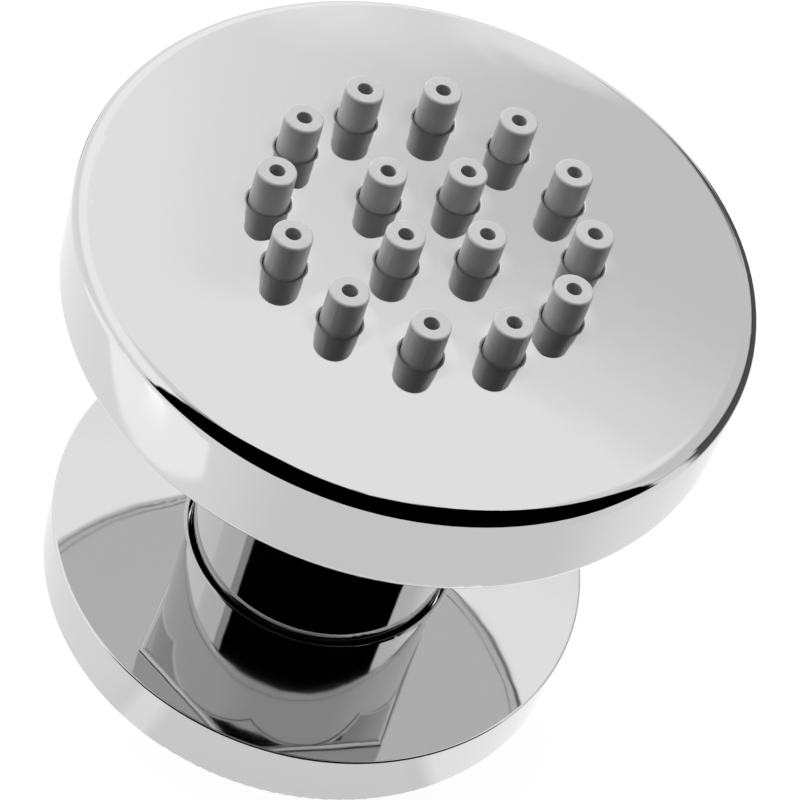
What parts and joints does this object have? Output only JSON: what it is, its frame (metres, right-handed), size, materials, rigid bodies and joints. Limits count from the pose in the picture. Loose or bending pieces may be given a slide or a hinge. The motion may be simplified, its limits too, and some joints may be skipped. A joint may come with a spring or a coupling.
{
  "type": "shower body jet",
  "caption": "Wall-mounted shower body jet: round polished head with soft nozzles on a ball joint, short neck with a hexagonal nut, and a sliding round wall flange.",
  "frame": {"origin": "centre of the neck's axis on the finished wall, at the back of the wall flange", "axes": "+Z along the neck's axis, from the wall to the spray face; one inner nozzle lies on +X"},
  "size_m": [0.065, 0.065, 0.0579],
  "materials": {
    "chrome": "mirror polished chrome plate on brass",
    "silicone": "matt grey silicone",
    "acetal": "natural white acetal",
    "black_rubber": "smooth black rubber",
    "foam": "closed-cell sealing foam",
    "steel": "plain stainless steel"
  },
  "bodies": {
    "inlet": {"inlet_body": "chrome", "swivel_nut": "chrome", "ball_seat": "acetal", "seat_o_ring": "black_rubber", "ball_o_ring": "black_rubber", "inlet_washer": "black_rubber", "filter_screen": "steel", "flow_limiter": "acetal", "limiter_ring": "black_rubber"},
    "flange": {"wall_flange": "chrome", "flange_gasket": "foam", "flange_o_ring": "black_rubber"},
    "swivel": {"friction_ring": "acetal"},
    "head": {"front_cup": "chrome", "nozzle_mat": "silicone", "distributor_plate": "acetal", "plate_screws": "steel", "back_cover": "chrome", "cover_o_ring": "black_rubber", "stem_o_ring": "black_rubber", "ball_stem": "chrome"}
  },
  "joints": [
    {"name": "flange_slide", "type": "slide", "parent": "inlet", "child": "flange", "axis": [0, 0, 1], "range_m": [0, 0.019]},
    {"name": "head_turn", "type": "hinge", "parent": "inlet", "child": "swivel", "pos_m": [0, 0, 0.03002], "axis": [0, 0, 1], "continuous": true},
    {"name": "head_tilt", "type": "hinge", "parent": "swivel", "child": "head", "pos_m": [0, 0, 0.03002], "axis": [1, 0, 0], "range_deg": [-15, 15]}
  ]
}
